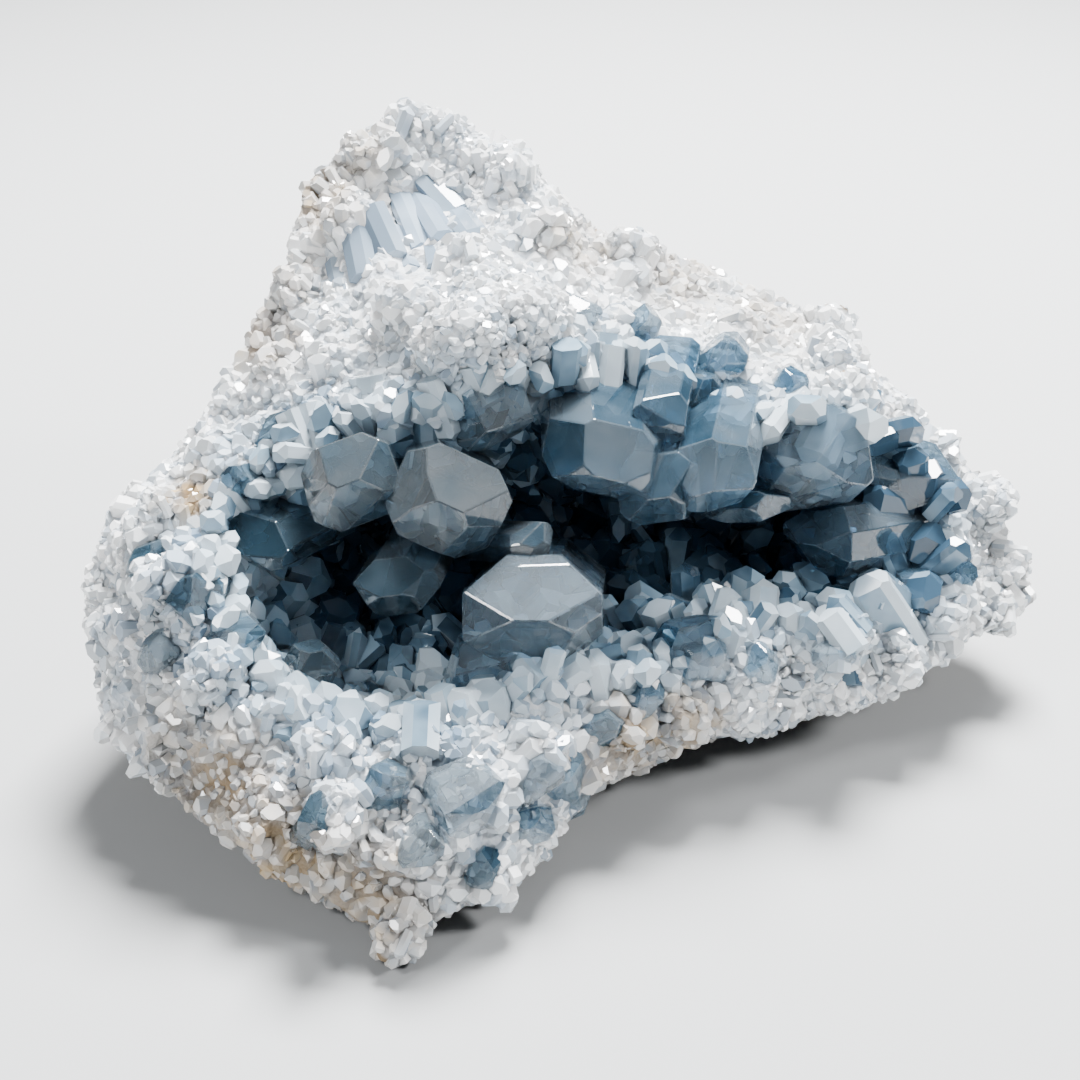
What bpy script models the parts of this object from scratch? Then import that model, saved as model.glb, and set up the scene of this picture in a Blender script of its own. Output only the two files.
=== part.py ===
"""A broken piece of a celestite geode: a thick wall of white sugary celestite with a tan rind on its
outside, open on a hollow lined with pale blue crystals. It rests on a small flat spot.

Everything is laid out in the frame of the open face, in millimetres: u runs across the face, v up it
and w straight out of it. The whole piece is then leaned back onto its flat spot.
"""

import math
import random

import bmesh
import bpy
import numpy as np
from mathutils import Matrix, Vector, noise

MM = 0.001

# How the piece stands: the open face looks up by FACE_TILT, and the face's zero point is at FACE_ZERO.
FACE_TILT = math.radians(30.2)
FACE_ZERO = (-5.4, -10.6, 28.4)
GROUND_UP = (0, math.cos(FACE_TILT), math.sin(FACE_TILT))

# The broken rim, anticlockwise from the right tip as seen looking into the hollow.
RIM = (
    (62.5, -7.5, -20), (60.5, -3, -21), (59, 1.5, -23), (60, 5, -23), (58, 7.5, -23), (52, 12.5, -24),
    (45, 20.5, -26), (40, 25.5, -27), (32.5, 30.5, -28), (20.5, 36, -28), (14, 37.5, -28),
    (7.5, 39.5, -27), (2.5, 44, -26), (-2, 50, -26), (-9, 54, -25), (-16, 56.5, -25), (-22.5, 53, -23),
    (-27.5, 47, -21), (-30.5, 45, -20), (-31, 34, -16), (-35, 25.5, -13), (-39, 16, -9), (-45, 7.5, -5),
    (-50, 3.5, -3), (-51, -3.5, -1), (-51.5, -9, 0), (-49.5, -17.5, 3), (-48.5, -22, 5), (-42, -26, 8),
    (-31.5, -32.5, 13), (-25, -36.5, 16), (-17.5, -39.5, 17), (-14, -42.5, 17.5), (-10.5, -40, 17),
    (-6, -38, 15), (-1, -35, 13), (1.5, -32.5, 11), (2, -29.5, 9), (6.5, -26, 6), (12, -23.5, 3),
    (19.5, -21, 0), (22.5, -22, -1), (26, -22, -2), (36, -20, -6), (45, -16.5, -10), (53, -12, -15),
    (59, -10, -18),
)
FACE_CENTRE = (-2.3, -2.3)

# Where the face swells or sinks between the rim and the hollow.
FACE_SWELLS = (
    (-12, 43, -22), (-20, 36, -15), (-5, 38, -14), (-5, 22, 4), (-5, 29, -3), (-23, 26, -8), (-14, 18, 2),
    (10, 30, -17), (12, 21, -7), (26, 27, -20), (25, 20, -11), (34, 14, -6), (43, 11, -17),
    (51, 3, -17), (42, -2, -11), (48, -8, -13), (-33, 13, -3), (-27, 8, 1), (-42, 2, 3),
    (-44, -8, 7), (-39, -15, 11), (-34, -6, 7), (-28, -14, 11), (-32, -21, 14), (-25, -27, 17),
    (-16, -32, 19.5), (-14, -25, 16), (-4, -28, 16), (-12, -20, 11), (2, -21, 9), (9, -17, 5),
    (21, -15, 1), (33, -14, -3), (42, -13, -7), (5, 0, 0), (-15, 0, 3), (25, 0, -6),
)

# The outside runs back from the rim to this point, and stands proud of the straight line by BACK_SWELL.
BACK_POINT = (0, 8, -42)
BACK_SWELL = 14
BACK_ROUNDING = 0.7

# The flat spot, seen from above: its centre and half sizes. Past it the underside rises to GROUND_CLEARANCE.
FLAT_CENTRE = (-5, 5)
FLAT_HALF_SIZES = (24, 16)
FLAT_DEPTH = 0.7
GROUND_CLEARANCE = 1.4
LUMP_SIZE = 14
LUMP_HEIGHT = 1.6
PIT_SIZE = 4.5
PIT_DEPTH = 0.7
BROKEN_HEIGHT = 1.3

# The hollow, as overlapping round chambers: (centre, radii).
CHAMBERS = (
    ((-16, -3, 3), (20, 17, 28)),
    ((6.5, 2.5, 0), (21.5, 17.5, 28)),
    ((27, 1.5, -9), (21, 12.5, 20)),
)
CHAMBER_LUMP_SIZE = 0.45
CHAMBER_LUMP_HEIGHT = 3
CRUST_THICKNESS = 5
CRUST_GAP = 0.6

# The large crystals: (name, foot, tip, width, thickness, turn in degrees, point).
LARGE_CRYSTALS = (
    ("middle chisel", (0.5, -6, -14), (-1, -8.5, 13), 15, 12.5, 0, "chisel"),
    ("lower column", (-4, -23, -2), (-7, -11, 6), 9, 7, 10, "blunt"),
    ("left tablet", (-24, 5, -10), (-34, -1, 4), 11, 5.5, -10, "chisel"),
    ("left round", (-21, 8, -15), (-20.5, 6, 10), 10.5, 9.5, 20, "pyramid"),
    ("lens", (-12, 7, -15), (-9.5, 3.5, 12), 12.5, 11, -25, "pyramid"),
    ("under shelf", (-14, 0, -10), (-16, -6, 10), 9, 6.5, 10, "chisel"),
    ("finger", (-7, 0, -10), (0, -0.5, 7), 5.5, 4, 30, "pyramid"),
    ("hanging tip", (-7, 20, -8), (-5, 12, 6), 9, 7, 15, "pyramid"),
    ("pale wedge", (7, 20, -14), (7.5, 6.5, 8), 14, 9, -15, "chisel"),
    ("right hexagon", (15, 13, -16), (13, 4.5, 6), 9.5, 8, 10, "pyramid"),
    ("white prism", (16, 22, -10), (13, 12.5, 4), 6, 5, 0, "blunt"),
    ("middle right", (23, 18, -15), (18, 5, 7), 10, 8.5, 25, "chisel"),
    ("window block", (36, 13, -26), (29.5, 8.5, -1), 15, 12, 10, "pyramid"),
    ("shelf tablet", (29, 6, -18), (22.5, 3.5, -2), 10, 3.6, 5, "chisel"),
    ("long prism", (48, 2, -22), (31, -0.5, -6), 10, 8.5, 0, "chisel"),
    ("upper slab", (42, 8, -26), (44, 7.5, -11), 13, 8, 15, "blunt"),
    ("right block", (44, -4, -26), (48, -6.5, -11), 10, 9, 0, "blunt"),
    ("right wedge", (40, -9, -20), (35, -8.5, -6), 9.5, 6, -15, "chisel"),
    ("lower block", (-6, -32, 4), (-6.5, -24, 15), 10, 8.5, 15, "pyramid"),
    ("clear block", (2, -28, 2), (0, -22, 12), 7.5, 6.5, -20, "pyramid"),
    ("left point", (-27, -17, 0), (-24, -12, 9), 5.5, 4.5, 20, "pyramid"),
    ("glint", (17, -15, -5), (16.5, -9.5, 4), 8, 5.5, 10, "chisel"),
)

# The small crystals that fill in between: how many, their widths and how far apart they stand.
SMALL_CRYSTALS = 46
MOUTH_CRYSTALS = 24
CRYSTAL_SIZES = (4.5, 7.5)
CRYSTAL_SPACING = 5.6
RIM_GRAINS = 44
GRAIN_SIZES = (4, 7)
GRAIN_SPACING = 6.5
TRIES = 3000
SEED = 11

SHORTEST_EDGE = 0.45
ROCK_RINGS = 4
CHAMBER_RINGS = 2


def named_object(name, mesh):
    """A new object that holds this mesh."""
    obj = bpy.data.objects.new(name, mesh)
    bpy.context.scene.collection.objects.link(obj)
    return obj


def object_from(name, bm):
    """A new object made from a bmesh, which is then freed."""
    mesh = bpy.data.meshes.new(name)
    bmesh.ops.recalc_face_normals(bm, faces=bm.faces)
    bm.to_mesh(mesh)
    bm.free()
    return named_object(name, mesh)


def principled(name, colour, roughness, transmission=0.0):
    """A Principled material for one piece."""
    material = bpy.data.materials.new(name)
    material.use_nodes = True
    shader = material.node_tree.nodes["Principled BSDF"]
    shader.inputs["Base Color"].default_value = (*colour, 1)
    shader.inputs["Roughness"].default_value = roughness
    shader.inputs["Metallic"].default_value = 0.0
    shader.inputs["Transmission Weight"].default_value = transmission
    return material


def combine(target, other, operation, use_self=False):
    """Cuts or joins target with other, which is then removed."""
    modifier = target.modifiers.new("combine", "BOOLEAN")
    modifier.operation = operation
    modifier.solver = "EXACT"
    modifier.use_self = use_self
    modifier.object = other
    graph = bpy.context.evaluated_depsgraph_get()
    mesh = bpy.data.meshes.new_from_object(target.evaluated_get(graph))
    target.modifiers.remove(modifier)
    target.data = mesh
    bpy.data.objects.remove(other)
    return target


def turns_over(gone, kept):
    """Whether a face around the vertex that goes would turn over or collapse."""
    for face in gone.link_faces:
        if kept in face.verts:
            continue
        a, b, c = [kept.co if vertex is gone else vertex.co for vertex in face.verts]
        normal = (b - a).cross(c - a)
        if normal.dot(face.normal) < 0.6 * normal.length or normal.length < 1e-4:
            return True
    return False


def merge_short_edges(bm):
    """Collapses the slivers that cuts leave, wherever the body stays closed and keeps its faces."""
    bmesh.ops.triangulate(bm, faces=bm.faces)
    while True:
        bm.normal_update()
        welds, touched = {}, set()
        short = [edge for edge in bm.edges if edge.calc_length() < SHORTEST_EDGE]
        for edge in sorted(short, key=lambda edge: edge.calc_length()):
            kept, gone = edge.verts
            beside = [{other.other_vert(end) for other in end.link_edges} for end in edge.verts]
            if len(beside[0] & beside[1]) != 2 or touched & (beside[0] | beside[1]):
                continue
            if any(len(other.link_faces) != 2 for end in edge.verts for other in end.link_edges):
                continue
            if turns_over(gone, kept):
                kept, gone = gone, kept
                if turns_over(gone, kept):
                    continue
            welds[gone] = kept
            touched |= beside[0] | beside[1]
        if not welds:
            return
        bmesh.ops.weld_verts(bm, targetmap=welds)
        bmesh.ops.delete(bm, geom=[edge for edge in bm.edges if not edge.link_faces], context="EDGES")


def keep_largest_body(obj):
    """Removes chips that a cut has left loose, and keeps the largest body."""
    bm = bmesh.new()
    bm.from_mesh(obj.data)
    bmesh.ops.remove_doubles(bm, verts=bm.verts, dist=0.002)
    unseen = set(bm.verts)
    bodies = []
    while unseen:
        body = set()
        front = [unseen.pop()]
        while front:
            vertex = front.pop()
            body.add(vertex)
            for edge in vertex.link_edges:
                other = edge.other_vert(vertex)
                if other in unseen:
                    unseen.remove(other)
                    front.append(other)
        bodies.append(body)
    bodies.sort(key=len)
    loose = [vertex for body in bodies[:-1] for vertex in body]
    bmesh.ops.delete(bm, geom=loose, context="VERTS")
    bmesh.ops.holes_fill(bm, edges=bm.edges)
    merge_short_edges(bm)
    bm.to_mesh(obj.data)
    bm.free()
    return obj


def thin_plate(points):
    """A smooth height over the face that passes through every (u, v, w) point."""
    at = np.array([p[:2] for p in points], float)
    height = np.array([p[2] for p in points], float)

    def bend(distance):
        return distance**2 * np.log(distance + 1e-9)

    apart = np.linalg.norm(at[:, None] - at[None], axis=2)
    plane = np.column_stack([np.ones(len(at)), at])
    left = np.block([[bend(apart), plane], [plane.T, np.zeros((3, 3))]])
    weights = np.linalg.solve(left, np.append(height, [0, 0, 0]))

    def height_at(u, v):
        near = np.linalg.norm(at - (u, v), axis=1)
        flat = weights[-3] + weights[-2] * u + weights[-1] * v
        return float(bend(near) @ weights[:-3] + flat)

    return height_at


def rim_at(angle):
    """The rim point in this direction from the face's centre."""
    full = 2 * math.pi
    directions = [math.atan2(v - FACE_CENTRE[1], u - FACE_CENTRE[0]) % full for u, v, w in RIM]
    order = np.argsort(directions)
    found = [
        np.interp(angle % full, np.array(directions)[order], np.array(RIM, float)[order, k], period=full)
        for k in range(3)
    ]
    return Vector(found)


def rocky(point, seed):
    """A pull along the surface's normal that makes lumps and small pits, in millimetres."""
    place = Vector((seed, 2 * seed, 3 * seed))
    lump = noise.noise(point / LUMP_SIZE + place)
    pit = noise.cell(point / PIT_SIZE + place)
    return LUMP_HEIGHT * lump - PIT_DEPTH * pit


def roughen(bm, seed, shares):
    """Moves each vertex along its normal by its share of the rock's lumps and pits."""
    bm.normal_update()
    moves = [vertex.normal * rocky(vertex.co, seed) * share for vertex, share in zip(bm.verts, shares)]
    for vertex, move in zip(bm.verts, moves):
        vertex.co += move


def raise_off_ground(vertex):
    """Lifts a vertex of the underside, so that only the flat spot reaches the ground."""
    side, up = Vector((0, math.sin(FACE_TILT), -math.cos(FACE_TILT))), Vector(GROUND_UP)
    x = vertex.co.x + FACE_ZERO[0] - FLAT_CENTRE[0]
    y = vertex.co.dot(side) + FACE_ZERO[1] - FLAT_CENTRE[1]
    reach = (x / FLAT_HALF_SIZES[0]) ** 2 + (y / FLAT_HALF_SIZES[1]) ** 2
    floor = min(FLAT_DEPTH * (reach - 1), GROUND_CLEARANCE)
    height = vertex.co.dot(up) + FACE_ZERO[2]
    if height < floor:
        vertex.co += up * (floor - height)


def rock(grow=0.0):
    """The outer form without its hollow, thicker all round by grow."""
    face = thin_plate(RIM + FACE_SWELLS)
    back = Vector(BACK_POINT)
    bm = bmesh.new()
    bmesh.ops.create_icosphere(bm, subdivisions=ROCK_RINGS, radius=1)
    front = [edge for edge in bm.edges if sum(vertex.co.z for vertex in edge.verts) > -0.4]
    bmesh.ops.subdivide_edges(bm, edges=front, cuts=1, use_grid_fill=True)
    bmesh.ops.triangulate(bm, faces=bm.faces)
    shares = []
    for vertex in bm.verts:
        vertex.co.normalize()
        polar = math.acos(max(-1, min(1, vertex.co.z)))
        rim = rim_at(math.atan2(vertex.co.y, vertex.co.x))
        share = polar / (math.pi / 2)
        shares.append(min(1, 0.3 + 3 * abs(share - 1)))
        if share <= 1:
            u = FACE_CENTRE[0] + (rim.x - FACE_CENTRE[0]) * share
            v = FACE_CENTRE[1] + (rim.y - FACE_CENTRE[1]) * share
            broken = BROKEN_HEIGHT * noise.cell(Vector((u, v, 0)) * 3) * min(1, (1 - share) * 5)
            vertex.co = (u, v, face(u, v) + broken)
        else:
            share -= 1
            line = back - rim
            out = Vector((rim.x - back.x, rim.y - back.y, 0))
            out = (out - line * out.dot(line) / line.length_squared).normalized()
            vertex.co = rim + line * share + out * BACK_SWELL * math.sin(math.pi * share) ** BACK_ROUNDING
            raise_off_ground(vertex)
    bmesh.ops.recalc_face_normals(bm, faces=bm.faces)
    roughen(bm, 1, shares)
    if grow:
        bm.normal_update()
        for vertex in bm.verts:
            vertex.co += vertex.normal * grow
    return bm


def cut_at_ground(bm):
    """Cuts the bmesh flat on the plane that it rests on."""
    up = Vector(GROUND_UP)
    ground = up * -FACE_ZERO[2]
    everything = bm.verts[:] + bm.edges[:] + bm.faces[:]
    cut = bmesh.ops.bisect_plane(bm, geom=everything, plane_co=ground, plane_no=-up, clear_outer=True)
    edges = [edge for edge in cut["geom_cut"] if isinstance(edge, bmesh.types.BMEdge)]
    bmesh.ops.contextual_create(bm, geom=edges)


def hollow(name, shrink):
    """The chambers as one closed body, smaller all round by shrink."""
    whole = None
    for centre, radii in CHAMBERS:
        bm = bmesh.new()
        bmesh.ops.create_icosphere(bm, subdivisions=CHAMBER_RINGS, radius=1)
        for vertex in bm.verts:
            out = vertex.co.copy()
            lump = CHAMBER_LUMP_HEIGHT * noise.noise(out / CHAMBER_LUMP_SIZE + Vector(centre))
            vertex.co = [centre[k] + out[k] * (radii[k] - shrink + lump) for k in range(3)]
        chamber = object_from(name, bm)
        whole = combine(whole, chamber, "UNION") if whole else chamber
    return whole


def depth_in_chambers(point, shrink):
    """Below 1 inside the nearest chamber, 1 on its wall and above 1 outside."""
    return min(
        math.sqrt(sum(((point[k] - centre[k]) / (radii[k] - shrink)) ** 2 for k in range(3)))
        for centre, radii in CHAMBERS
    )


def random_direction(dice):
    """A direction that is as likely as any other."""
    height = dice.uniform(-1, 1)
    angle = dice.uniform(0, 2 * math.pi)
    return Vector((math.cos(angle), math.sin(angle), 0)) * math.sqrt(1 - height**2) + Vector((0, 0, height))


def spaced(candidates, spacing, count):
    """The first candidates (place, direction) that keep this far from each other, up to count."""
    kept = []
    for place, direction in candidates:
        if all((place - other).length > spacing for other, _ in kept):
            kept.append((place, direction))
        if len(kept) == count:
            break
    return kept


def clear_of_large_crystals(place):
    """Whether a place stands free beside every large crystal."""
    for name, foot, tip, width, thickness, turn, point in LARGE_CRYSTALS:
        foot, tip = Vector(foot), Vector(tip)
        along = min(1, max(0, (place - foot).dot(tip - foot) / (tip - foot).length_squared))
        if (place - foot.lerp(tip, along)).length < width / 2 + 2:
            return False
    return True


def wall_places(dice, face):
    """Random places on the crust's inner wall, each with the direction into the hollow."""
    for _ in range(TRIES):
        centre, radii = dice.choice(CHAMBERS)
        inner = Vector([radius - CRUST_THICKNESS for radius in radii])
        out = random_direction(dice)
        place = Vector([centre[k] + out[k] * inner[k] for k in range(3)])
        inward = -Vector([out[k] / inner[k] for k in range(3)]).normalized()
        buried = face(place.x, place.y) - place.z
        if buried > 1 and depth_in_chambers(place, CRUST_THICKNESS) > 0.97:
            yield place, inward


def mouth_places(dice, face):
    """Random places on the crust's outer edge, each with the direction out of the rock."""
    for _ in range(TRIES):
        rim = rim_at(dice.uniform(0, 2 * math.pi))
        share = dice.uniform(0.1, 0.95)
        u = FACE_CENTRE[0] + (rim.x - FACE_CENTRE[0]) * share
        v = FACE_CENTRE[1] + (rim.y - FACE_CENTRE[1]) * share
        place = Vector((u, v, face(u, v)))
        slope = Vector((face(u - 1, v) - face(u + 1, v), face(u, v - 1) - face(u, v + 1), 2))
        if 0.88 < depth_in_chambers(place, 0) < 0.98 and clear_of_large_crystals(place):
            yield place, slope.normalized()


def face_places(dice, face):
    """Random places on the open face outside the hollow, each with the direction out of the rock."""
    for _ in range(TRIES):
        rim = rim_at(dice.uniform(0, 2 * math.pi))
        share = math.sqrt(dice.uniform(0.12, 0.94))
        u = FACE_CENTRE[0] + (rim.x - FACE_CENTRE[0]) * share
        v = FACE_CENTRE[1] + (rim.y - FACE_CENTRE[1]) * share
        place = Vector((u, v, face(u, v)))
        slope = Vector((face(u - 1, v) - face(u + 1, v), face(u, v - 1) - face(u, v + 1), 2))
        if depth_in_chambers(place, 0) > 1.08:
            yield place, slope.normalized()


def growth(bm, dice, place, direction, sizes, reach, root, grow=0.0):
    """Adds one small crystal that grows out of a surface, its foot sunk in by root."""
    lean = (direction + random_direction(dice) * 0.4).normalized()
    width = dice.uniform(*sizes)
    length = width * dice.uniform(*reach) + grow
    thickness = width * dice.uniform(0.7, 0.95) + 2 * grow
    point = dice.choice(("pyramid", "pyramid", "chisel", "blunt"))
    foot = place - lean * root
    crystal(bm, foot, place + lean * length, width + 2 * grow, thickness, dice.uniform(0, 90), point, False)


def crystal(bm, foot, tip, width, thickness, turn, point, corners=True):
    """Adds one closed crystal: an upright bar whose top is cut by slanting faces, set from foot to tip."""
    foot, tip = Vector(foot), Vector(tip)
    length = (tip - foot).length
    axis = (tip - foot).normalized()
    shape = bmesh.new()
    bmesh.ops.create_cube(shape, size=1)
    bmesh.ops.scale(shape, vec=(width, thickness, length), verts=shape.verts)
    bmesh.ops.translate(shape, vec=(0, 0, length / 2), verts=shape.verts)
    top = Vector((0, 0, length))
    steep, shallow, corner = {
        "chisel": (1.0, 0.45, 0.30),
        "pyramid": (0.8, 0.75, 0.22),
        "blunt": (0.35, 0.15, 0.18),
    }[point]
    slopes = [((0, side, 1 / steep), top) for side in (1, -1)]
    slopes += [((side, 0, 1 / shallow * 0.9), top + Vector((side * width * 0.12, 0, 0))) for side in (1, -1)]
    for side in (1, -1) if corners else ():
        for edge in (1, -1):
            reach = Vector((side * width, edge * thickness, 0)) * (0.5 - corner / 2)
            slopes.append(((side * thickness, edge * width, 0), reach))
    for normal, through in slopes:
        everything = shape.verts[:] + shape.edges[:] + shape.faces[:]
        cut = bmesh.ops.bisect_plane(
            shape, geom=everything, plane_co=through, plane_no=normal, clear_outer=True, dist=1e-4
        )
        edges = [edge for edge in cut["geom_cut"] if isinstance(edge, bmesh.types.BMEdge)]
        if edges:
            bmesh.ops.contextual_create(shape, geom=edges)
    across = axis.orthogonal() if abs(axis.x) > 0.95 else Vector((1, 0, 0))
    across = (across - axis * across.dot(axis)).normalized()
    placed = Matrix((across, axis.cross(across), axis)).transposed().to_4x4()
    placed = Matrix.Translation(foot) @ placed @ Matrix.Rotation(math.radians(turn), 4, "Z")
    bmesh.ops.transform(shape, matrix=placed, verts=shape.verts)
    bmesh.ops.recalc_face_normals(shape, faces=shape.faces)
    mesh = bpy.data.meshes.new("crystal")
    shape.to_mesh(mesh)
    shape.free()
    bm.from_mesh(mesh)
    bpy.data.meshes.remove(mesh)


def overgrown_rock(name, grow=0.0):
    """The rock with small crystals grown on its broken face, all of it thicker by grow."""
    dice = random.Random(SEED)
    face = thin_plate(RIM + FACE_SWELLS)
    bm = rock(grow)
    for place, direction in spaced(face_places(dice, face), GRAIN_SPACING, RIM_GRAINS):
        growth(bm, dice, place, direction, GRAIN_SIZES, (0.35, 0.8), 2.5, grow)
    return object_from(name, bm)


def geode_shell():
    """The wall of the geode: the overgrown rock less its hollow, cut flat where it rests."""
    body = combine(overgrown_rock("geode_shell"), hollow("hollow", 0), "DIFFERENCE", use_self=True)
    bm = bmesh.new()
    bm.from_mesh(body.data)
    cut_at_ground(bm)
    bm.to_mesh(body.data)
    bm.free()
    return keep_largest_body(body)


def crystal_crust():
    """The lining of the hollow, with its crystals joined in one solid and clear of the shell."""
    dice = random.Random(SEED + 1)
    face = thin_plate(RIM + FACE_SWELLS)
    bowl = combine(hollow("crystal_crust", CRUST_GAP), object_from("rock", rock()), "INTERSECT")
    bowl = combine(bowl, hollow("air", CRUST_THICKNESS), "DIFFERENCE")
    bm = bmesh.new()
    for name, foot, tip, width, thickness, turn, point in LARGE_CRYSTALS:
        crystal(bm, foot, tip, width, thickness, turn, point)
    for place, direction in spaced(wall_places(dice, face), CRYSTAL_SPACING, SMALL_CRYSTALS):
        growth(bm, dice, place, direction, CRYSTAL_SIZES, (0.8, 1.5), 2.5)
    for place, direction in spaced(mouth_places(dice, face), CRYSTAL_SPACING, MOUTH_CRYSTALS):
        growth(bm, dice, place, direction, CRYSTAL_SIZES, (0.4, 0.8), 4)
    crust = combine(bowl, object_from("crystals", bm), "UNION", use_self=True)
    wall = overgrown_rock("wall", CRUST_GAP)
    wall = combine(wall, hollow("hollow", CRUST_GAP - 0.05), "DIFFERENCE", use_self=True)
    return keep_largest_body(combine(crust, wall, "DIFFERENCE"))


def main():
    for obj in list(bpy.data.objects):
        bpy.data.objects.remove(obj)
    shell = geode_shell()
    crust = crystal_crust()
    lean = Matrix.Rotation(math.pi / 2 - FACE_TILT, 4, "X")
    place = Matrix.Translation(Vector(FACE_ZERO) * MM) @ lean @ Matrix.Scale(MM, 4)
    for obj in (shell, crust):
        obj.data.transform(place)
        obj.data.materials.clear()
    shell.data.materials.append(principled("sugary celestite", (0.78, 0.80, 0.80), 0.5))
    crust.data.materials.append(principled("blue celestite", (0.48, 0.62, 0.72), 0.15, 0.6))


main()
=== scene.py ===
"""A broken piece of a celestite geode: its white sugary wall with a tan rind, and the pale blue crystals
that line its hollow.

Placement is worked out in the frame of the open face, in millimetres: u runs across the face, v up it
and w straight out of it.
"""

import math

import bmesh
import bpy
import numpy as np
from mathutils import Matrix, Vector, noise
from mathutils.bvhtree import BVHTree


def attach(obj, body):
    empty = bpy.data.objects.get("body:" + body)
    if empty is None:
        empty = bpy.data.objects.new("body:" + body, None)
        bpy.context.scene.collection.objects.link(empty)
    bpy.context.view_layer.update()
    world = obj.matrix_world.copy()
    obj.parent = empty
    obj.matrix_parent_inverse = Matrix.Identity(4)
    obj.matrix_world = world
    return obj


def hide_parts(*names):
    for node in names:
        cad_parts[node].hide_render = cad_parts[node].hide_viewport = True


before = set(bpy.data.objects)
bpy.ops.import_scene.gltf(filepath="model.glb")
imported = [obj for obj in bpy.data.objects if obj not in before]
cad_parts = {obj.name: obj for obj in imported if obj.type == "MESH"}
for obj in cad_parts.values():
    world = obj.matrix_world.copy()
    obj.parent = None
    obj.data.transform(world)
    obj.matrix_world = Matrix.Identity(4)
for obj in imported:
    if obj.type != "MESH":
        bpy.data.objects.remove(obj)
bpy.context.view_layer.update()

MM = 0.001

# The open face looks up by FACE_TILT, and FACE_ZERO is its middle.
FACE_TILT = math.radians(30.2)
FACE_ZERO = Vector((-5.4, -10.6, 28.4))
FACE_TO_WORLD = (
    Matrix.Translation(FACE_ZERO * MM)
    @ Matrix.Rotation(math.pi / 2 - FACE_TILT, 4, "X")
    @ Matrix.Scale(MM, 4)
)
WORLD_TO_FACE = FACE_TO_WORLD.inverted()
OUT_OF_FACE = Vector((0, -math.cos(FACE_TILT), math.sin(FACE_TILT)))

# The camera looks straight at the middle of the face.
CAMERA_DISTANCE = 190
CAMERA_LENS = 56.2
CAMERA_SENSOR = 36

# The lamps, in metres and watts: (name, place, size, power). They point at LAMP_TARGET.
LAMPS = (
    ("key", (0.06, 0.26, 0.50), 0.22, 21.0),
    ("fill", (-0.40, -0.30, 0.50), 0.15, 2.4),
    ("side", (0.45, -0.10, 0.35), 0.10, 2.6),
)
LAMP_TARGET = Vector((0, 0, 0.03))
WORLD_STRENGTH = 0.17
FLOOR_HALF_SIZE = 3

# The hollow, as overlapping round chambers: (centre, radii).
CHAMBERS = (
    ((-16, -3, 3), (20, 17, 28)),
    ((6.5, 2.5, 0), (21.5, 17.5, 28)),
    ((27, 1.5, -9), (21, 12.5, 20)),
)

# The large crystals: (foot, tip, width, thickness, turn in degrees, point).
LARGE_CRYSTALS = (
    ((0.5, -6, -14), (-1, -8.5, 13), 15, 12.5, 0, "chisel"),
    ((-4, -23, -2), (-7, -11, 6), 9, 7, 10, "blunt"),
    ((-24, 5, -10), (-34, -1, 4), 11, 5.5, -10, "chisel"),
    ((-21, 8, -15), (-20.5, 6, 10), 10.5, 9.5, 20, "pyramid"),
    ((-12, 7, -15), (-9.5, 3.5, 12), 12.5, 11, -25, "pyramid"),
    ((-14, 0, -10), (-16, -6, 10), 9, 6.5, 10, "chisel"),
    ((-7, 0, -10), (0, -0.5, 7), 5.5, 4, 30, "pyramid"),
    ((-7, 20, -8), (-5, 12, 6), 9, 7, 15, "pyramid"),
    ((7, 20, -14), (7.5, 6.5, 8), 14, 9, -15, "chisel"),
    ((15, 13, -16), (13, 4.5, 6), 9.5, 8, 10, "pyramid"),
    ((16, 22, -10), (13, 12.5, 4), 6, 5, 0, "blunt"),
    ((23, 18, -15), (18, 5, 7), 10, 8.5, 25, "chisel"),
    ((36, 13, -26), (29.5, 8.5, -1), 15, 12, 10, "pyramid"),
    ((29, 6, -18), (22.5, 3.5, -2), 10, 3.6, 5, "chisel"),
    ((48, 2, -22), (31, -0.5, -6), 10, 8.5, 0, "chisel"),
    ((42, 8, -26), (44, 7.5, -11), 13, 8, 15, "blunt"),
    ((44, -4, -26), (48, -6.5, -11), 10, 9, 0, "blunt"),
    ((40, -9, -20), (35, -8.5, -6), 9.5, 6, -15, "chisel"),
    ((-6, -32, 4), (-6.5, -24, 15), 10, 8.5, 15, "pyramid"),
    ((2, -28, 2), (0, -22, 12), 7.5, 6.5, -20, "pyramid"),
    ((-27, -17, 0), (-24, -12, 9), 5.5, 4.5, 20, "pyramid"),
    ((17, -15, -5), (16.5, -9.5, 4), 8, 5.5, 10, "chisel"),
)

# Places with tan or brown dirt in the grains: (u, v, radius, strength).
DIRT = (
    (-39.4, 4.8, 2.4, 1.3), (-34, -26, 5.5, 1.0), (-27, -33, 6, 1.1), (-18, -36.5, 6, 0.9),
    (-39, -21, 4, 0.6), (10.8, -22, 4.5, 1.0), (16.4, -20.5, 4, 0.9), (6.4, -25.5, 3.5, 0.7),
    (-27.5, 43, 4.5, 0.9), (-33, 24, 4, 0.8), (-31, 31, 3.5, 0.6), (-23, 48, 4.5, 0.6),
    (5.5, 37.5, 4.5, 0.6), (18, 33, 4.5, 0.7), (29, 28, 4.5, 0.6), (46, 8, 4, 0.5),
    (-1, 17, 4, 0.4), (-28, -36, 3, 1.3),
)

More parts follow.
